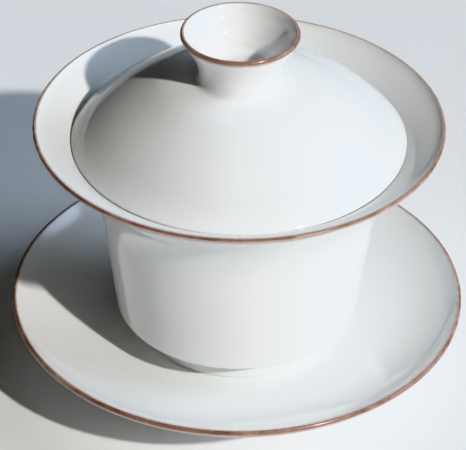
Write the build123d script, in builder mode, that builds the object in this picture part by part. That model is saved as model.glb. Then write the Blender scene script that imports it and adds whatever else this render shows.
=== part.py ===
from build123d import *
import math
import os

# Gaiwan: a lidded tea bowl on its saucer, all in thin glazed porcelain.
# Millimetres, +Z up. The origin is on the axis, on the table under the saucer.
# Every piece is turned about Z, so each profile is drawn as (radius, height).

# ---- heights of the set when it stands together ----
seat_z = 8.3              # top of the saucer floor, where the bowl's foot stands
saucer_lip_z = 18.9       # highest point of the saucer's lip
bowl_lip_z = 70.0         # highest point of the bowl's lip
knob_lip_z = 94.8         # highest point of the lid's knob

# ---- saucer ----
saucer_lip_radius = 57.6  # outside of the lip
saucer_lip_width = 1.3
saucer_lip_face = 0.5         # upright face under the dressed crown
saucer_lip_round = 0.4
saucer_floor_radius = 26.5
saucer_floor_thickness = 3.0
saucer_wall = 2.3
saucer_foot_radius = 31.0     # outside of the foot ring at the table
saucer_foot_width = 2.2
saucer_foot_taper = 0.7       # how much wider the ring is where it leaves the dish
saucer_foot_corner = 0.5
saucer_foot_junction = 0.9
under_taper_start = 0.6       # share of the dish's run before the wall thins to the lip

# ---- bowl ----
bowl_lip_radius = 50.4        # outside of the lip
bowl_lip_width = 1.2
foot_radius = 24.3            # outside of the foot ring where it stands
foot_width = 2.3
foot_taper = 0.4
foot_height = 4.9
foot_corner = 0.4
foot_junction = 0.8
base_thickness = 3.2
turn_radius = 30.9            # outside of the body where it turns in to the foot
turn_z = 16.3
turn_round = 1.8
wall_foot_radius = 31.5       # outside of the wall just above the turn
wall_foot_z = 21.2
wall_top_radius = 34.1        # outside of the wall where the flare starts
wall_top_z = 44.0
bowl_wall = 2.1
floor_flat_radius = 14.0
floor_sweep_z = 33.0          # the floor's curve has become the wall by here
floor_handle_share = 0.25     # share of the floor's curve that still runs nearly level
sweep_handle_share = 0.7      # share of its climb that already runs along the wall

# The flare is a pair of long curves, each steered by a handle at the lip and a run up the wall.
flare_inner_handle = (42.0, 66.6)
flare_inner_run = 17.0
flare_outer_handle = (44.4, 64.4)
flare_outer_run = 14.0

# ---- lid ----
dome_radius = 53.6            # outer sphere of the dome
dome_top_z = 84.4             # where that sphere would peak, under the knob
crown_radius = 21.0           # within this the crown is flatter than the sphere
crown_tilt = 4.0              # slope of the crown beside the knob, in degrees
lid_edge_width = 1.2
lid_edge_radius = 40.54       # middle of the rounded edge, a hair clear of the flare
boss_radius = 10.1            # raised seat that carries the knob
boss_z = 83.6
boss_foot = (11.9, 81.6)      # where the seat's hollow fillet runs out on the crown
boss_foot_pull = 0.15         # how far above the foot the fillet's handle lies
under_crown_z = 79.6          # underside of the lid on the axis
under_crown_run = 16.0
under_shoulder = (30.5, 75.6)

# ---- knob: an upturned ring, open at the top ----
knob_lip_radius = 14.4
knob_lip_width = 1.2
knob_wall = 1.8
knob_neck_rise = 4.0          # nearly straight neck before it flares
knob_flare_handle = (12.6, 90.4)

# ---- dressed lips: the iron-brown crown along each edge ----
crown_height = 0.9
crown_bevel = 0.35

os.makedirs("parts", exist_ok=True)

# ---- worked out ----
saucer_edge_z = saucer_lip_z - crown_height
saucer_lip_inner = saucer_lip_radius - saucer_lip_width
saucer_lip_foot = (saucer_lip_radius, saucer_edge_z - saucer_lip_face)
saucer_base_z = seat_z - saucer_floor_thickness
saucer_foot_inner = saucer_foot_radius - saucer_foot_width
saucer_run = saucer_lip_inner - saucer_floor_radius
saucer_rise = saucer_edge_z - seat_z
dish_radius = (saucer_run**2 + saucer_rise**2) / (2 * saucer_rise)
dish_centre = (saucer_floor_radius, seat_z + dish_radius)
dish_angle = math.degrees(math.asin(saucer_run / dish_radius))
under_dish_radius = dish_radius + saucer_wall
saucer_foot_top = saucer_foot_radius + saucer_foot_taper
under_foot_angle = math.asin((saucer_foot_top - saucer_floor_radius) / under_dish_radius)
under_foot = (saucer_foot_top, dish_centre[1] - under_dish_radius * math.cos(under_foot_angle))
under_mid_angle = math.asin(saucer_run * under_taper_start / under_dish_radius)
under_mid = (
    saucer_floor_radius + under_dish_radius * math.sin(under_mid_angle),
    dish_centre[1] - under_dish_radius * math.cos(under_mid_angle),
)
under_reach = (saucer_lip_radius - under_mid[0]) / 2
under_mid_handle = (under_mid[0] + under_reach, under_mid[1] + under_reach * math.tan(under_mid_angle))
under_arc_start = math.degrees(under_foot_angle) - 90
under_arc_size = math.degrees(under_mid_angle - under_foot_angle)

bowl_edge_z = bowl_lip_z - crown_height
bowl_lip_inner = bowl_lip_radius - bowl_lip_width
foot_inner = foot_radius - foot_width
foot_top_z = seat_z + foot_height
recess_z = foot_top_z
bowl_floor_z = recess_z + base_thickness
wall_inner_top = wall_top_radius - bowl_wall
wall_slope = (wall_top_radius - wall_foot_radius) / (wall_top_z - wall_foot_z)
flare_inner_start = (wall_inner_top + flare_inner_run * wall_slope, wall_top_z + flare_inner_run)
flare_outer_start = (wall_top_radius + flare_outer_run * wall_slope, wall_top_z + flare_outer_run)
sweep_radius = wall_inner_top - (wall_top_z - floor_sweep_z) * wall_slope
floor_climb = floor_sweep_z - bowl_floor_z
floor_handle = (sweep_radius - (sweep_radius - floor_flat_radius) * floor_handle_share, bowl_floor_z)
sweep_handle = (
    sweep_radius - floor_climb * wall_slope * sweep_handle_share,
    floor_sweep_z - floor_climb * sweep_handle_share,
)

dome_centre_z = dome_top_z - dome_radius
edge_round = lid_edge_width / 2
edge_path = dome_radius - edge_round
edge_angle = math.asin(lid_edge_radius / edge_path)
edge_outer = (dome_radius * math.sin(edge_angle), dome_centre_z + dome_radius * math.cos(edge_angle))
edge_inner_path = dome_radius - lid_edge_width
edge_inner = (edge_inner_path * math.sin(edge_angle), dome_centre_z + edge_inner_path * math.cos(edge_angle))
edge_tip = (
    edge_path * math.sin(edge_angle) + edge_round * math.cos(edge_angle),
    dome_centre_z + edge_path * math.cos(edge_angle) - edge_round * math.sin(edge_angle),
)
crown_angle = math.asin(crown_radius / dome_radius)
crown_edge = (crown_radius, dome_centre_z + dome_radius * math.cos(crown_angle))
crown_run = (crown_radius - boss_foot[0]) / 3
crown_inner_handle = (
    boss_foot[0] + crown_run,
    boss_foot[1] - crown_run * math.tan(math.radians(crown_tilt)),
)
crown_outer_handle = (crown_radius - crown_run, crown_edge[1] + crown_run * math.tan(crown_angle))
dome_start = 90 - math.degrees(crown_angle)
dome_sweep = -math.degrees(edge_angle - crown_angle)

knob_edge_z = knob_lip_z - crown_height
knob_lip_inner = knob_lip_radius - knob_lip_width
knob_inner = boss_radius - knob_wall


# ---- saucer: shallow dish on a foot ring ----
with BuildPart() as saucer:
    with BuildSketch(Plane.XZ) as saucer_profile:
        with BuildLine():
            Line((0, seat_z), (saucer_floor_radius, seat_z))
            CenterArc(dish_centre, dish_radius, -90, dish_angle)
            Line((saucer_lip_inner, saucer_edge_z), (saucer_lip_radius, saucer_edge_z))
            Line((saucer_lip_radius, saucer_edge_z), saucer_lip_foot)
            Bezier(saucer_lip_foot, under_mid_handle, under_mid)
            CenterArc(dish_centre, under_dish_radius, under_arc_start, under_arc_size)
            Polyline(
                under_foot,
                (saucer_foot_radius, 0),
                (saucer_foot_inner, 0),
                (saucer_foot_inner - saucer_foot_taper, saucer_base_z),
                (0, saucer_base_z),
                (0, seat_z),
            )
        make_face()
        fillet(saucer_profile.vertices().sort_by_distance(under_foot)[0], saucer_foot_junction)
        fillet(saucer_profile.vertices().sort_by_distance(saucer_lip_foot)[0], saucer_lip_round)
        fillet(saucer_profile.vertices().sort_by(Axis.Y)[:2], saucer_foot_corner)
    revolve(axis=Axis.Z)
saucer.part.label = "saucer"
export_step(saucer.part, "parts/saucer.step")

# ---- saucer lip: bevelled crown that takes the iron dressing ----
with BuildPart() as saucer_rim:
    with BuildSketch(Plane.XZ) as saucer_crown:
        with Locations((saucer_lip_radius - saucer_lip_width / 2, saucer_lip_z - crown_height / 2)):
            Rectangle(saucer_lip_width, crown_height)
        chamfer(saucer_crown.vertices().group_by(Axis.Y)[-1], crown_bevel)
    revolve(axis=Axis.Z)
saucer_rim.part.label = "saucer_rim"
export_step(saucer_rim.part, "parts/saucer_rim.step")

# ---- bowl: foot ring, turned-in base, upright wall and a wide trumpet flare ----
with BuildPart() as bowl:
    with BuildSketch(Plane.XZ) as bowl_profile:
        with BuildLine():
            Line((0, bowl_floor_z), (floor_flat_radius, bowl_floor_z))
            Bezier(
                (floor_flat_radius, bowl_floor_z),
                floor_handle,
                sweep_handle,
                (sweep_radius, floor_sweep_z),
            )
            Line((sweep_radius, floor_sweep_z), (wall_inner_top, wall_top_z))
            Bezier(
                (wall_inner_top, wall_top_z),
                flare_inner_start,
                flare_inner_handle,
                (bowl_lip_inner, bowl_edge_z),
            )
            Line((bowl_lip_inner, bowl_edge_z), (bowl_lip_radius, bowl_edge_z))
            Bezier(
                (bowl_lip_radius, bowl_edge_z),
                flare_outer_handle,
                flare_outer_start,
                (wall_top_radius, wall_top_z),
            )
            Polyline(
                (wall_top_radius, wall_top_z),
                (wall_foot_radius, wall_foot_z),
                (turn_radius, turn_z),
                (foot_radius + foot_taper, foot_top_z),
                (foot_radius, seat_z),
                (foot_inner, seat_z),
                (foot_inner - foot_taper, recess_z),
                (0, recess_z),
                (0, bowl_floor_z),
            )
        make_face()
        corners = bowl_profile.vertices()
        fillet(corners.sort_by_distance((turn_radius, turn_z))[0], turn_round)
        corners = bowl_profile.vertices()
        fillet(corners.sort_by_distance((foot_radius + foot_taper, foot_top_z))[0], foot_junction)
        corners = bowl_profile.vertices()
        fillet(corners.sort_by_distance((foot_inner - foot_taper, recess_z))[0], foot_junction)
        fillet(bowl_profile.vertices().sort_by(Axis.Y)[:2], foot_corner)
    revolve(axis=Axis.Z)
bowl.part.label = "bowl"
export_step(bowl.part, "parts/bowl.step")

# ---- bowl lip crown ----
with BuildPart() as bowl_rim:
    with BuildSketch(Plane.XZ) as bowl_crown:
        with Locations((bowl_lip_radius - bowl_lip_width / 2, bowl_lip_z - crown_height / 2)):
            Rectangle(bowl_lip_width, crown_height)
        chamfer(bowl_crown.vertices().group_by(Axis.Y)[-1], crown_bevel)
    revolve(axis=Axis.Z)
bowl_rim.part.label = "bowl_rim"
export_step(bowl_rim.part, "parts/bowl_rim.step")

# ---- lid: domed cap whose rounded edge rests inside the bowl's flare ----
with BuildPart() as lid:
    with BuildSketch(Plane.XZ):
        with BuildLine():
            Line((0, under_crown_z), (0, boss_z))
            Line((0, boss_z), (boss_radius, boss_z))
            Bezier((boss_radius, boss_z), (boss_radius, boss_foot[1] + boss_foot_pull), boss_foot)
            Bezier(boss_foot, crown_inner_handle, crown_outer_handle, crown_edge)
            CenterArc((0, dome_centre_z), dome_radius, dome_start, dome_sweep)
            ThreePointArc(edge_outer, edge_tip, edge_inner)
            Bezier(
                edge_inner,
                under_shoulder,
                (under_crown_run, under_crown_z),
                (0, under_crown_z),
            )
        make_face()
    revolve(axis=Axis.Z)
lid.part.label = "lid"
export_step(lid.part, "parts/lid.step")

# ---- knob: flared ring luted on the boss ----
with BuildPart() as lid_knob:
    with BuildSketch(Plane.XZ):
        with BuildLine():
            Line((knob_inner, boss_z), (boss_radius, boss_z))
            Bezier(
                (boss_radius, boss_z),
                (boss_radius, boss_z + knob_neck_rise),
                knob_flare_handle,
                (knob_lip_radius, knob_edge_z),
            )
            Line((knob_lip_radius, knob_edge_z), (knob_lip_inner, knob_edge_z))
            Bezier(
                (knob_lip_inner, knob_edge_z),
                (knob_flare_handle[0] - knob_wall, knob_flare_handle[1]),
                (knob_inner, boss_z + knob_neck_rise),
                (knob_inner, boss_z),
            )
        make_face()
    revolve(axis=Axis.Z)
lid_knob.part.label = "lid_knob"
export_step(lid_knob.part, "parts/lid_knob.step")

# ---- knob lip crown ----
with BuildPart() as knob_rim:
    with BuildSketch(Plane.XZ) as knob_crown:
        with Locations((knob_lip_radius - knob_lip_width / 2, knob_lip_z - crown_height / 2)):
            Rectangle(knob_lip_width, crown_height)
        chamfer(knob_crown.vertices().group_by(Axis.Y)[-1], crown_bevel)
    revolve(axis=Axis.Z)
knob_rim.part.label = "knob_rim"
export_step(knob_rim.part, "parts/knob_rim.step")
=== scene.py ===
import math

import bpy
from mathutils import Matrix, Quaternion, Vector


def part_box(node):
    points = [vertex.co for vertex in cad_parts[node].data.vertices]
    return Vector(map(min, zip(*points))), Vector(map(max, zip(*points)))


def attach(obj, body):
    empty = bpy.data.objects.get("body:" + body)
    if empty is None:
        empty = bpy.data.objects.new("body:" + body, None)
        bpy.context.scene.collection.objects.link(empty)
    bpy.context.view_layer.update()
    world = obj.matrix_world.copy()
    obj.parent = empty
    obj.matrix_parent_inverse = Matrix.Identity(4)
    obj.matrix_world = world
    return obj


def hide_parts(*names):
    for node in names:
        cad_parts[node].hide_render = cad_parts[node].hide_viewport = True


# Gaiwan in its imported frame: every piece is turned on a virtual wheel from a (radius, height)
# profile, then given a glaze. Profiles are in millimetres, the scene in metres.

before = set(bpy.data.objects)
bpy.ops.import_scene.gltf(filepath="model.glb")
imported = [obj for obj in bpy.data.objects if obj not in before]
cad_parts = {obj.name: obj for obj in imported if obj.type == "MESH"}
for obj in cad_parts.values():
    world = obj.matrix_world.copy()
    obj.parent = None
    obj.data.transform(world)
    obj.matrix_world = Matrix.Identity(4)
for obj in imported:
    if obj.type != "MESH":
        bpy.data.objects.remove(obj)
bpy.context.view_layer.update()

MM = 0.001
AROUND = 256                    # facets round the axis
SHARP_ANGLE = 38                # degrees between faces from which an edge is shaded sharp


# ---------- key sizes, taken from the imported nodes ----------
def top_mm(node):
    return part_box(node)[1].z / MM


def low_mm(node):
    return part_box(node)[0].z / MM


def radius_mm(node):
    low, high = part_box(node)
    return (high.x - low.x) / 2 / MM


SEAT_Z = low_mm("bowl")
BOWL_R, BOWL_TOP = radius_mm("bowl_rim"), top_mm("bowl_rim")
SAUCER_R, SAUCER_TOP = radius_mm("saucer_rim"), top_mm("saucer_rim")
KNOB_R, KNOB_TOP, KNOB_LOW = radius_mm("knob_rim"), top_mm("knob_rim"), low_mm("lid_knob")
CROWN = BOWL_TOP - low_mm("bowl_rim")               # height of the dressed crown on each lip
BOWL_LIP, SAUCER_LIP, KNOB_LIP = 1.2, 1.3, 1.2      # thickness of the lips
NECK_R = 10.1                                       # the knob's neck, and the boss it stands on


# ---------- profile curves ----------
def bezier(p0, p1, p2, p3, count):
    points = []
    for i in range(count + 1):
        t = i / count
        s = 1 - t
        points.append(tuple(
            s**3 * a + 3 * s * s * t * b + 3 * s * t * t * c + t**3 * d
            for a, b, c, d in zip(p0, p1, p2, p3)
        ))
    return points


def quadratic(p0, handle, p2, count):
    near = tuple(h + (p - h) / 3 for h, p in zip(handle, p0))
    far = tuple(h + (p - h) / 3 for h, p in zip(handle, p2))
    return bezier(p0, near, far, p2, count)


def line(a, b, count):
    return [tuple(u + (v - u) * i / count for u, v in zip(a, b)) for i in range(count + 1)]


def arc(centre, radius, start, end, count):
    """An arc from one angle to another, in degrees."""
    points = []
    for i in range(count + 1):
        a = math.radians(start + (end - start) * i / count)
        points.append((centre[0] + radius * math.cos(a), centre[1] + radius * math.sin(a)))
    return points


CORNER_SPANS = 10               # spans in each softened corner
CORNER_SHARE = 0.49             # the most of a straight run that a softened corner takes


def rounded(corner, before, after, radius):
    """An arc of that radius that softens the corner between two straight runs."""
    c, b, a = Vector(corner), Vector(before), Vector(after)
    u, v = (b - c).normalized(), (a - c).normalized()
    half = u.angle(v) / 2
    reach = radius / math.tan(half)
    reach = min(reach, (b - c).length * CORNER_SHARE, (a - c).length * CORNER_SHARE)
    start, end = c + u * reach, c + v * reach
    weight = math.sin(half)
    points = []
    for i in range(CORNER_SPANS + 1):
        t = i / CORNER_SPANS
        s = 1 - t
        total = s * s + 2 * s * t * weight + t * t
        p = (start * s * s + c * (2 * s * t * weight) + end * t * t) / total
        points.append((p.x, p.y))
    return points


SAME_POINT = 1e-4               # points closer than this are one point


def chain(*runs):
    points = []
    for run in runs:
        for p in run:
            if not points or math.dist(points[-1], p) > SAME_POINT:
                points.append(p)
    return points


def soft_path(points, radii):
    """A path through straight runs whose corners are rounded, one radius for each corner."""
    out = [points[0]]
    for before, corner, after, radius in zip(points, points[1:], points[2:], radii):
        out += rounded(corner, before, after, radius)
    out.append(points[-1])
    return out


def resample(points, step):
    """Splits the long runs so that no span is longer than step."""
    out = [points[0]]
    for a, b in zip(points, points[1:]):
        parts = max(1, math.ceil(math.dist(a, b) / step))
        out += line(a, b, parts)[1:]
    return out


# ---------- the wheel ----------
OVAL, THREE_SIDED, RIPPLE = 0.55, 0.30, 0.15        # shares of a piece's unevenness
RIPPLE_PITCH = 0.9              # radians per mm of height
RIPPLE_CLIMB = 0.6              # how far the throwing rings climb round the wall, in radians
STEADY_R = 12                   # the unevenness fades out from this radius to the axis
AXIS = 1e-6                     # a smaller radius than this is a point on the axis


def wobble(angle, z, amount, phase):
    """The slight unevenness of a piece turned by hand and warped a little in the kiln. It only
    ever pulls the wall inwards, so that the piece stays inside its nominal size."""
    sway = OVAL * math.sin(2 * angle + phase) + THREE_SIDED * math.sin(3 * angle - 1.7 * phase)
    climb = RIPPLE_CLIMB * math.sin(angle + phase)
    return amount * (sway + RIPPLE * math.sin(z * RIPPLE_PITCH + phase * 3 + climb) - 1)


def turn(name, path, unevenness, closed=False):
    """A mesh of revolution. The path runs outwards over the top of the wall and back underneath,
    so the faces look out of the clay. A point on the axis becomes a pole."""
    verts, faces, rings = [], [], []
    for r, z in path:
        if r < AXIS:
            rings.append([len(verts)])
            verts.append((0.0, 0.0, z * MM))
            continue
        rings.append(range(len(verts), len(verts) + AROUND))
        for k in range(AROUND):
            a = 2 * math.pi * k / AROUND
            turned = r + wobble(a, z, *unevenness) * min(1.0, r / STEADY_R)
            verts.append((turned * math.cos(a) * MM, turned * math.sin(a) * MM, z * MM))
    if closed:
        rings.append(rings[0])
    for this, after in zip(rings, rings[1:]):
        for k in range(AROUND):
            n = (k + 1) % AROUND
            if len(this) == 1:
                faces.append((this[0], after[k], after[n]))
            elif len(after) == 1:
                faces.append((this[k], after[0], this[n]))
            else:
                faces.append((this[k], after[k], after[n], this[n]))
    mesh = bpy.data.meshes.new(name)
    mesh.from_pydata(verts, [], faces)
    mesh.shade_smooth()
    mesh.set_sharp_from_angle(angle=math.radians(SHARP_ANGLE))
    mesh.update()
    made = bpy.data.objects.new(name, mesh)
    bpy.context.scene.collection.objects.link(made)
    return made


# ---------- profiles ----------
# Each but the lid's returns the inside, from the axis out to the lip, the lip's inner and outer
# corner, and the outside from the lip back to the axis.
def saucer_path():
    floor_r = 26.5                  # flat floor that the bowl stands on
    dish_wall = 2.3
    follow = 0.6                    # share of the run where the underside follows the dish
    lip_depth, lip_corner = 0.5, 0.4
    ring_root_r, ring_outer, ring_inner, recess_r = 31.7, 31.0, 28.8, 28.1
    recess_z = SEAT_Z - 3.0
    root_soft, ring_soft = 0.9, 0.5
    edge = (SAUCER_R - SAUCER_LIP, SAUCER_TOP - CROWN)
    lip, lip_foot = (SAUCER_R, edge[1]), (SAUCER_R, edge[1] - lip_depth)
    run, rise = edge[0] - floor_r, edge[1] - SEAT_Z
    dish = (run**2 + rise**2) / (2 * rise)
    centre = (floor_r, SEAT_Z + dish)
    sweep = math.degrees(math.asin(run / dish))
    outer = dish + dish_wall
    root_a = math.asin((ring_root_r - floor_r) / outer)
    mid_a = math.asin(run * follow / outer)
    root = (ring_root_r, centre[1] - outer * math.cos(root_a))
    mid = (floor_r + outer * math.sin(mid_a), centre[1] - outer * math.cos(mid_a))
    reach = (SAUCER_R - mid[0]) / 2
    under = quadratic(lip_foot, (mid[0] + reach, mid[1] + reach * math.tan(mid_a)), mid, count=60)
    under = chain([lip], rounded(lip_foot, lip, under[3], lip_corner), under[3:])
    below = arc(centre, outer, math.degrees(mid_a) - 90, math.degrees(root_a) - 90, count=30)
    ring = soft_path(
        [below[-4], root, (ring_outer, 0), (ring_inner, 0), (recess_r, recess_z), (0, recess_z)],
        [root_soft, ring_soft, ring_soft, root_soft],
    )
    inside = chain(
        line((0, SEAT_Z), (floor_r, SEAT_Z), count=30),
        arc(centre, dish, -90, sweep - 90, count=90),
    )
    return inside, edge, lip, chain(under, below[:-4], ring)


def bowl_path():
    wall_top, wall_foot = (34.1, 44.0), (31.5, 21.2)
    wall = 2.1
    floor_z, flat_r, sweep_z = SEAT_Z + 8.1, 14.0, 33.0
    floor_share, sweep_share = 0.25, 0.7            # how far the sweep keeps to floor and wall
    inner_run, inner_handle = 17, (42.0, 66.6)      # the flare's inside
    outer_run, outer_handle = 14, (44.4, 64.4)      # the flare's outside
    shoulder = (30.9, 16.3)
    ring_outer, ring_out_low, ring_in_low, recess_r = 24.7, 24.3, 22.0, 21.6
    ring_top = SEAT_Z + 4.9
    wall_bend, shoulder_soft, root_soft, ring_soft = 30.0, 1.8, 0.8, 0.4
    edge = (BOWL_R - BOWL_LIP, BOWL_TOP - CROWN)
    lip = (BOWL_R, BOWL_TOP - CROWN)
    slope = (wall_top[0] - wall_foot[0]) / (wall_top[1] - wall_foot[1])
    inner_top = (wall_top[0] - wall, wall_top[1])
    sweep = (inner_top[0] - (inner_top[1] - sweep_z) * slope, sweep_z)
    drop = sweep_z - floor_z
    inside = chain(
        line((0, floor_z), (flat_r, floor_z), count=16),
        bezier(
            (flat_r, floor_z),
            (sweep[0] - (sweep[0] - flat_r) * floor_share, floor_z),
            (sweep[0] - drop * slope * sweep_share, floor_z + drop * (1 - sweep_share)),
            sweep,
            count=50,
        ),
        line(sweep, inner_top, count=20),
        bezier(
            inner_top,
            (inner_top[0] + inner_run * slope, inner_top[1] + inner_run),
            inner_handle,
            edge,
            count=90,
        ),
    )
    wall_and_foot = soft_path(
        [wall_top, wall_foot, shoulder, (ring_outer, ring_top), (ring_out_low, SEAT_Z),
         (ring_in_low, SEAT_Z), (recess_r, ring_top), (0, ring_top)],
        [wall_bend, shoulder_soft, root_soft, ring_soft, ring_soft, root_soft],
    )
    outside = chain(
        bezier(
            lip,
            outer_handle,
            (wall_top[0] + outer_run * slope, wall_top[1] + outer_run),
            wall_top,
            count=90,
        ),
        resample(wall_and_foot, step=1.2),
    )
    return inside, edge, lip, outside


def lid_path():
    """The whole closed profile: the boss for the knob, the dome, its round edge and the inside."""
    dome, dome_top, width, edge_r = 53.6, 84.4, 1.2, 40.54
    foot, foot_pull = (11.9, 81.6), 0.15            # where the boss's fillet ends, and its handle
    crown_r, crown_tilt = 21.0, 4                   # the flatter crown, and its tilt in degrees
    inner_shoulder, inner_crown = (30.5, 75.6), (16.0, 79.6)
    centre_z = dome_top - dome
    mid = dome - width / 2
    polar = math.asin(edge_r / mid)
    inner = ((dome - width) * math.sin(polar), centre_z + (dome - width) * math.cos(polar))
    edge_centre = (mid * math.sin(polar), centre_z + mid * math.cos(polar))
    edge_a = 90 - math.degrees(polar)
    crown_a = math.asin(crown_r / dome)
    crown_z = centre_z + dome * math.cos(crown_a)
    run = (crown_r - foot[0]) / 3
    boss = (NECK_R, KNOB_LOW)
    return chain(
        line((0, KNOB_LOW), boss, count=12),
        quadratic(boss, (NECK_R, foot[1] + foot_pull), foot, count=16),
        bezier(
            foot,
            (foot[0] + run, foot[1] - run * math.tan(math.radians(crown_tilt))),
            (crown_r - run, crown_z + run * math.tan(crown_a)),
            (crown_r, crown_z),
            count=30,
        ),
        arc((0, centre_z), dome, 90 - math.degrees(crown_a), edge_a, count=70),
        arc(edge_centre, width / 2, edge_a, edge_a - 180, count=20),
        bezier(inner, inner_shoulder, inner_crown, (0.0, inner_crown[1]), count=70),
    )


def knob_path():
    """The knob is a ring: its profile starts at the bottom of the hollow, not on the axis."""
    neck_rise, outer_handle = 4.0, (12.6, 90.4)
    hollow_r = 5.2                                  # flat bottom of the hollow
    corner_handles = (7.2, KNOB_LOW), (8.2, KNOB_LOW + 0.9)
    bore, bore_handle, inner_handle = (8.3, KNOB_LOW + 2.6), (8.45, KNOB_LOW + 5.0), (10.8, 90.4)
    edge = (KNOB_R - KNOB_LIP, KNOB_TOP - CROWN)
    lip = (KNOB_R, KNOB_TOP - CROWN)
    neck, foot = (NECK_R, KNOB_LOW + neck_rise), (NECK_R, KNOB_LOW)
    outside = bezier(lip, outer_handle, neck, foot, count=50)
    inside = chain(
        bezier((hollow_r, KNOB_LOW), *corner_handles, bore, count=16),
        bezier(bore, bore_handle, inner_handle, edge, count=50),
    )
    return inside, edge, lip, outside


# ---------- lips ----------
ROLL_START = 135                # where the inside glaze meets the roll of a lip, in degrees
INSET = 0.03                    # the clay under a dressed lip lies this far inside it


def rolled_lip(inside, edge, lip, climb, inset):
    """The inside run carried up onto the round top of its lip in one sweep, and over to the
    outside. The roll is as thick as the lip, and climb is how far before it the rise starts."""
    half = (lip[0] - edge[0]) / 2
    middle = (lip[0] - half, lip[1] + CROWN - half)
    roll = arc(middle, half - inset, ROLL_START, 0, count=22)
    kept = [p for p in inside if p[0] < edge[0] - climb]
    start, along = Vector(kept[-1]), (Vector(kept[-1]) - Vector(kept[-2])).normalized()
    end = Vector(roll[0])
    angle = math.radians(ROLL_START - 90)
    onto = Vector((math.cos(angle), math.sin(angle)))
    reach = (end - start).length / 3
    rise = bezier(start, start + along * reach, end - onto * reach, end, count=16)
    return chain(kept, rise), chain(roll, [(lip[0] - inset, lip[1])])


def dressed(inside, edge, lip, climb):
    """The clay's inside and lip, just under the dressing, and the dressing's closed ring."""
    surface, clay = rolled_lip(inside, edge, lip, climb, INSET)
    ring = rolled_lip(inside, edge, lip, climb, 0)[1]
    return chain(surface, clay), chain(ring, line(lip, edge, count=3)[1:])


# ---------- materials ----------
class Nodes:
    """A principled material whose masks and noise come from the object's own coordinates."""

    def __init__(self, name):
        self.material = bpy.data.materials.new(name)
        self.material.use_nodes = True
        self.tree = self.material.node_tree
        self.tree.nodes.clear()
        out = self.tree.nodes.new("ShaderNodeOutputMaterial")
        self.shader = self.tree.nodes.new("ShaderNodeBsdfPrincipled")
        self.tree.links.new(self.shader.outputs["BSDF"], out.inputs["Surface"])
        self.coords = self.tree.nodes.new("ShaderNodeTexCoord").outputs["Object"]
        split = self.tree.nodes.new("ShaderNodeSeparateXYZ")
        self.tree.links.new(self.coords, split.inputs[0])
        self.z = split.outputs["Z"]
        flat = self.tree.nodes.new("ShaderNodeCombineXYZ")
        self.tree.links.new(split.outputs["X"], flat.inputs["X"])
        self.tree.links.new(split.outputs["Y"], flat.inputs["Y"])
        length = self.tree.nodes.new("ShaderNodeVectorMath")
        length.operation = "LENGTH"
        self.tree.links.new(flat.outputs[0], length.inputs[0])
        self.r = length.outputs["Value"]

    def put(self, value, socket):
        if hasattr(value, "is_output"):
            self.tree.links.new(value, socket)
        else:
            socket.default_value = value

    def noise(self, scale, detail, rough=0.5):
        """Noise between 0 and 1, with its scale in cycles per metre."""
        node = self.tree.nodes.new("ShaderNodeTexNoise")
        self.tree.links.new(self.coords, node.inputs["Vector"])
        node.inputs["Scale"].default_value = scale
        node.inputs["Detail"].default_value = detail
        node.inputs["Roughness"].default_value = rough
        return node.outputs["Fac"]

    def ramp(self, value, low, high, to_low=0.0, to_high=1.0):
        node = self.tree.nodes.new("ShaderNodeMapRange")
        node.interpolation_type = "SMOOTHSTEP"
        self.put(value, node.inputs["Value"])
        node.inputs["From Min"].default_value = low
        node.inputs["From Max"].default_value = high
        node.inputs["To Min"].default_value = to_low
        node.inputs["To Max"].default_value = to_high
        return node.outputs["Result"]

    def ramp_mm(self, value, low, high, to_low=0.0, to_high=1.0):
        """A ramp over a length in metres whose ends are given in millimetres."""
        return self.ramp(value, low * MM, high * MM, to_low, to_high)

    def math(self, operation, a, b=0.0):
        node = self.tree.nodes.new("ShaderNodeMath")
        node.operation = operation
        self.put(a, node.inputs[0])
        self.put(b, node.inputs[1])
        return node.outputs[0]

    def wander(self, scale, detail, span):
        """An uneven shift of a length, span millimetres from end to end."""
        centred = self.math("SUBTRACT", self.noise(scale, detail), 0.5)
        return self.math("MULTIPLY", centred, span * MM)

    def distance(self, radius, z):
        """Distance from a circle round the axis, given in millimetres, as a value in metres."""
        away_r = self.math("SUBTRACT", self.r, radius * MM)
        away_z = self.math("SUBTRACT", self.z, z * MM)
        square_r = self.math("MULTIPLY", away_r, away_r)
        square_z = self.math("MULTIPLY", away_z, away_z)
        return self.math("SQRT", self.math("ADD", square_r, square_z))

    def mix(self, factor, a, b):
        node = self.tree.nodes.new("ShaderNodeMix")
        node.data_type = "RGBA"
        self.put(factor, node.inputs[0])
        self.put(a, node.inputs[6])
        self.put(b, node.inputs[7])
        return node.outputs[2]

    def colour(self, value):
        self.put(value, self.shader.inputs["Base Color"])

    def roughness(self, value):
        self.put(value, self.shader.inputs["Roughness"])

    def bump(self, height, strength, distance):
        node = self.tree.nodes.new("ShaderNodeBump")
        node.inputs["Strength"].default_value = strength
        node.inputs["Distance"].default_value = distance
        self.tree.links.new(height, node.inputs["Height"])
        self.tree.links.new(node.outputs["Normal"], self.shader.inputs["Normal"])


WHITE = (0.855, 0.86, 0.85, 1)
WARM_WHITE = (0.865, 0.86, 0.845, 1)
POOLED_AND_SHADED = (0.60, 0.665, 0.64, 1)         # glaze where it has run thick, made darker as painted shade in the bowl's corner
HALO = (0.52, 0.385, 0.32, 1)           # glaze stained by the iron next to it
BISCUIT = (0.72, 0.66, 0.58, 1)         # unglazed clay
IRON = (0.29, 0.160, 0.128, 1)
IRON_DARK = (0.20, 0.104, 0.084, 1)
IRON_PALE = (0.45, 0.30, 0.245, 1)
FLOOR_LIGHT, FLOOR_DARK = (0.93, 0.93, 0.93, 1), (0.90, 0.90, 0.90, 1)

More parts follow.
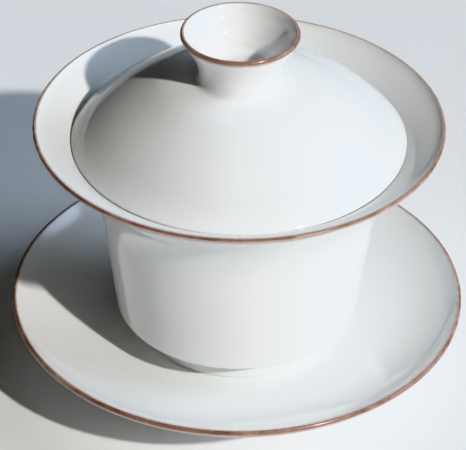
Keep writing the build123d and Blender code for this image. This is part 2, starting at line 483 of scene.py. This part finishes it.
# Noise settings: the scale, the detail, and the roughness where it isn't the usual half.
TONE_DRIFT, GLOSS_DRIFT = (38, 3), (160, 4)
ORANGE_PEEL, SWELL, SWELL_WEIGHT = (420, 2), (60, 1), 2.5
IRON_MOTTLE, IRON_WEAR = (240, 4, 0.6), (85, 3, 0.6)
IRON_EDGE, IRON_SHEEN, IRON_GRAIN = (230, 3), (500, 3), (900, 3)
HALO_EDGE = (300, 3)
FLOOR_DRIFT, FLOOR_SHEEN = (12, 2), (40, 2)
NOISE_MIDDLE = (0.3, 0.7)               # most of a noise's values lie between these
DARK_MOTTLE = (0.40, 0.66)              # noise values over which the brown turns dark
PALE_WEAR = (0.50, 0.74)                # and over which it turns pale
HALO_STRENGTH = 0.9
CREST_FADE = (0.75, 1.45)               # the brown crest fades between these shares of its band
WHITE_SHARE = 0.62                      # the lip turns white from this share of its width inwards

GLAZE_GLOSS = (0.035, 0.065)            # roughness of the smoothest and the dullest glaze
BISCUIT_DULLNESS = 0.6                  # roughness that bare clay adds
IRON_GLOSS = (0.18, 0.34)
FLOOR_GLOSS = (0.6, 0.7)
GLAZE_IOR = 1.5
GLAZE_DEPTH, GLAZE_DEPTH_M = 0.12, 0.002            # share of light that enters it, and how far
GLAZE_DEPTH_COLOUR = (1.0, 0.9, 0.8)


def porcelain(name, halo=None, pooled_and_shaded=None, bare=None):
    """White glaze. halo, pooled_and_shaded and bare each make a mask from the material's own
    coordinates; pooled_and_shaded lays on thick glaze with painted shade.
    """
    m = Nodes(name)
    base = m.mix(m.noise(*TONE_DRIFT), WHITE, WARM_WHITE)
    if pooled_and_shaded:
        # greenish pooled glaze plus painted shade, darkest in the corner under the bowl's turn
        base = m.mix(pooled_and_shaded(m), base, POOLED_AND_SHADED)
    if halo:
        base = m.mix(halo(m), base, HALO)
    rough = m.ramp(m.noise(*GLOSS_DRIFT), *NOISE_MIDDLE, *GLAZE_GLOSS)
    if bare:
        uncovered = bare(m)
        base = m.mix(uncovered, base, BISCUIT)
        rough = m.math("ADD", rough, m.math("MULTIPLY", uncovered, BISCUIT_DULLNESS))
    m.colour(base)
    m.roughness(rough)
    m.shader.inputs["IOR"].default_value = GLAZE_IOR
    m.shader.inputs["Subsurface Weight"].default_value = GLAZE_DEPTH
    m.shader.inputs["Subsurface Radius"].default_value = GLAZE_DEPTH_COLOUR
    m.shader.inputs["Subsurface Scale"].default_value = GLAZE_DEPTH_M
    swell = m.math("MULTIPLY", m.noise(*SWELL), SWELL_WEIGHT)
    m.bump(m.math("ADD", m.noise(*ORANGE_PEEL), swell), strength=0.10, distance=0.2 * MM)
    return m.material


def iron_lip(name, radius, top, width, centre, band):
    """Iron-brown crest that thins to tan on the outside and to white glaze on the inside. The
    crest is a band round a circle that lies centre (in, down) from the lip's top corner."""
    m = Nodes(name)
    base = m.mix(m.ramp(m.noise(*IRON_MOTTLE), *DARK_MOTTLE), IRON, IRON_DARK)
    base = m.mix(m.ramp(m.noise(*IRON_WEAR), *PALE_WEAR), base, IRON_PALE)
    wander = m.wander(*IRON_EDGE, span=0.3)
    crest = m.math("ADD", m.distance(radius - centre[0], top - centre[1]), wander)
    off_crest = m.ramp_mm(crest, band * CREST_FADE[0], band * CREST_FADE[1])
    inner, brown = radius - width, radius - width * WHITE_SHARE
    inside = m.ramp_mm(m.math("ADD", m.r, wander), inner, brown, 1.0, 0.0)
    m.colour(m.mix(off_crest, base, m.mix(inside, HALO, WHITE)))
    m.roughness(m.ramp(m.noise(*IRON_SHEEN), *NOISE_MIDDLE, *IRON_GLOSS))
    m.bump(m.noise(*IRON_GRAIN), strength=0.15, distance=0.1 * MM)
    return m.material


def near_lip(radius, z, inner, outer):
    """Mask of the brown bleeding into the glaze just below a lip, ragged at its edge."""
    def mask(m):
        ragged = m.math("ADD", m.distance(radius, z), m.wander(*HALO_EDGE, span=0.9))
        return m.ramp_mm(ragged, inner, outer, HALO_STRENGTH, 0.0)
    return mask


def saucer_foot(m):
    """Mask of the bare clay on the foot ring, from its inner edge outwards."""
    bare_z, glazed_z = 0.3, 0.9
    recess_r, ring_r = 27.0, 27.5
    low = m.ramp_mm(m.z, bare_z, glazed_z, 1.0, 0.0)
    return m.math("MULTIPLY", low, m.ramp_mm(m.r, recess_r, ring_r))


def bowl_foot(m):
    """Mask of the bare clay on the face of the foot ring."""
    bare_z, glazed_z = SEAT_Z + 0.02, SEAT_Z + 0.12
    return m.ramp_mm(m.z, bare_z, glazed_z, 1.0, 0.0)


def bowl_pooled_glaze_and_shade(m):
    """Mask of the glaze that has pooled between the foot ring and the wall, darkened there as
    painted shade: strongest in the corner, gone up the wall, and weaker down the foot ring."""
    wall_from, wall_to, strongest = 12.2, 16.5, 0.75
    ring_to, ring_from, weakest = 9.5, 13.0, 0.35
    up = m.ramp_mm(m.z, wall_from, wall_to, strongest, 0.0)
    down = m.ramp_mm(m.z, ring_to, ring_from, weakest, 1.0)
    return m.math("MULTIPLY", up, down)


saucer_glaze = porcelain(
    "saucer_porcelain",
    halo=near_lip(SAUCER_R, SAUCER_TOP - CROWN, 0.4, 1.3),
    bare=saucer_foot,
)
bowl_glaze = porcelain(
    "bowl_porcelain",
    halo=near_lip(BOWL_R, BOWL_TOP - CROWN, 0.2, 1.3),
    # pooled glaze and painted shade where the wall turns into the foot ring
    pooled_and_shaded=bowl_pooled_glaze_and_shade,
    bare=bowl_foot,
)
lid_glaze = porcelain("lid_porcelain")
knob_glaze = porcelain("knob_porcelain", halo=near_lip(KNOB_R, KNOB_TOP - CROWN, 0.2, 1.1))
saucer_brown = iron_lip("saucer_iron", SAUCER_R, SAUCER_TOP, SAUCER_LIP, (0.22, 0.30), 0.50)
bowl_brown = iron_lip("bowl_iron", BOWL_R, BOWL_TOP, BOWL_LIP, (0.19, 0.16), 0.30)
knob_brown = iron_lip("knob_iron", KNOB_R, KNOB_TOP, KNOB_LIP, (0.10, 0.33), 0.46)


# ---------- pieces ----------
# How uneven each piece is, in mm, and how far round the axis that is turned, in radians. The
# knob is uneven with its lid.
SAUCER_UNEVEN, BOWL_UNEVEN, LID_UNEVEN = (0.06, 0.4), (0.05, 1.9), (0.03, 3.1)
WIDE_CLIMB, KNOB_CLIMB = 3.0, 1.2       # mm before a lip's roll where the glaze starts to rise


def place(piece, body, slot, material, *nodes):
    piece.data.materials.append(material)
    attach(piece, body)
    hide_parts(*nodes)


inside, edge, lip, outside = saucer_path()
clay, ring = dressed(inside, edge, lip, WIDE_CLIMB)
place(turn("saucer_dish", chain(clay, outside), SAUCER_UNEVEN),
      "saucer", "saucer_glaze", saucer_glaze, "saucer")
place(turn("saucer_lip", ring, SAUCER_UNEVEN, closed=True),
      "saucer", "iron_lip", saucer_brown, "saucer_rim")

inside, edge, lip, outside = bowl_path()
clay, ring = dressed(inside, edge, lip, WIDE_CLIMB)
place(turn("bowl_body", chain(clay, outside), BOWL_UNEVEN),
      "bowl", "bowl_glaze", bowl_glaze, "bowl")
place(turn("bowl_lip", ring, BOWL_UNEVEN, closed=True),
      "bowl", "iron_lip", bowl_brown, "bowl_rim")

place(turn("lid_dome", lid_path(), LID_UNEVEN), "lid", "lid_glaze", lid_glaze, "lid")

inside, edge, lip, outside = knob_path()
clay, ring = dressed(inside, edge, lip, KNOB_CLIMB)
place(turn("lid_ring_knob", chain(clay, outside), LID_UNEVEN, closed=True),
      "lid", "lid_glaze", knob_glaze, "lid_knob")
place(turn("knob_lip", ring, LID_UNEVEN, closed=True),
      "lid", "iron_lip", knob_brown, "knob_rim")


# ---------- floor, light and camera ----------
def floor_plane(half):
    corners = [(-half, -half, 0), (half, -half, 0), (half, half, 0), (-half, half, 0)]
    mesh = bpy.data.meshes.new("floor")
    mesh.from_pydata(corners, [], [(0, 1, 2, 3)])
    made = bpy.data.objects.new("floor", mesh)
    bpy.context.scene.collection.objects.link(made)
    m = Nodes("floor_white")
    m.colour(m.mix(m.noise(*FLOOR_DRIFT), FLOOR_DARK, FLOOR_LIGHT))
    m.roughness(m.ramp(m.noise(*FLOOR_SHEEN), 0, 1, *FLOOR_GLOSS))
    made.data.materials.append(m.material)


def towards(azimuth, elevation):
    """The direction of a light, in degrees round to the right of the front and up."""
    a, e = math.radians(azimuth), math.radians(elevation)
    return Vector((math.sin(a) * math.cos(e), -math.cos(a) * math.cos(e), math.sin(e)))


def lamp(name, azimuth, elevation, distance, size, watts, colour, target):
    data = bpy.data.lights.new(name, "AREA")
    data.shape = "DISK"
    data.size = size
    data.energy = watts
    data.color = colour
    made = bpy.data.objects.new(name, data)
    direction = towards(azimuth, elevation)
    made.location = target + direction * distance
    made.rotation_mode = "QUATERNION"
    made.rotation_quaternion = (-direction).to_track_quat("-Z", "Y")
    bpy.context.scene.collection.objects.link(made)


def studio_world(room, sky, azimuth, elevation, full, edge):
    """A dim room with one broad soft patch of sky in it. The patch is full strength out to one
    angle from its middle and gone at the other, in degrees."""
    world = bpy.data.worlds.new("studio")
    bpy.context.scene.world = world
    world.use_nodes = True
    tree = world.node_tree
    background = tree.nodes["Background"]
    coords = tree.nodes.new("ShaderNodeTexCoord")
    dot = tree.nodes.new("ShaderNodeVectorMath")
    dot.operation = "DOT_PRODUCT"
    dot.inputs[1].default_value = towards(azimuth, elevation)
    tree.links.new(coords.outputs["Generated"], dot.inputs[0])
    patch = tree.nodes.new("ShaderNodeMapRange")
    patch.interpolation_type = "SMOOTHSTEP"
    patch.inputs["From Min"].default_value = math.cos(math.radians(edge))
    patch.inputs["From Max"].default_value = math.cos(math.radians(full))
    tree.links.new(dot.outputs["Value"], patch.inputs["Value"])
    mix = tree.nodes.new("ShaderNodeMix")
    mix.data_type = "RGBA"
    mix.inputs[6].default_value = (*room, 1)
    mix.inputs[7].default_value = (*sky, 1)
    tree.links.new(patch.outputs["Result"], mix.inputs[0])
    tree.links.new(mix.outputs[2], background.inputs["Color"])
    background.inputs["Strength"].default_value = 1.0


FLOOR_HALF = 4.0                        # metres from the middle of the floor to its sides
TARGET = Vector((0, 0, 0.05))           # the middle of the gaiwan
SUNLIGHT = (1.0, 0.978, 0.948)
ROOM_LEVEL, ROOM_TINT = 0.046, (1.0, 0.955, 0.86)
SKY_LEVEL, SKY_TINT = 6.2, (0.66, 0.82, 1.0)

floor_plane(FLOOR_HALF)
lamp("key", azimuth=43, elevation=36, distance=5.0, size=0.19, watts=228, colour=SUNLIGHT,
     target=TARGET)
studio_world(
    room=tuple(ROOM_LEVEL * c for c in ROOM_TINT),
    sky=tuple(SKY_LEVEL * c for c in SKY_TINT),
    azimuth=93, elevation=28, full=8, edge=27,
)

VIEW_DISTANCE = 0.5508                  # metres from the middle of the bowl's mouth
VIEW_ELEVATION = 0.57554                # radians above the horizon
PITCH, YAW, ROLL = -0.04703, 0.00217, -0.01246      # radians off the middle of the mouth
FOCAL_MM = 174.2
NEAR_CLIP, FAR_CLIP = 0.05, 20
mouth = Vector((0, 0, BOWL_TOP * MM))
back = Vector((0, -math.cos(VIEW_ELEVATION), math.sin(VIEW_ELEVATION)))
forward, right = -back, Vector((1, 0, 0))
up = right.cross(forward)
pitch = Quaternion(right, PITCH)
forward, up = pitch @ forward, pitch @ up
yaw = Quaternion(up, YAW)
forward, right = yaw @ forward, yaw @ right
roll = Quaternion(forward, ROLL)
right, up = roll @ right, roll @ up

camera_data = bpy.data.cameras.new("camera")
camera_data.lens = FOCAL_MM
camera_data.clip_start, camera_data.clip_end = NEAR_CLIP, FAR_CLIP
camera = bpy.data.objects.new("camera", camera_data)
camera.location = mouth + back * VIEW_DISTANCE
camera.rotation_mode = "QUATERNION"
camera.rotation_quaternion = Matrix((right, up, -forward)).transposed().to_quaternion()
bpy.context.scene.collection.objects.link(camera)
bpy.context.scene.camera = camera
bpy.context.scene.view_settings.view_transform = "Khronos PBR Neutral"
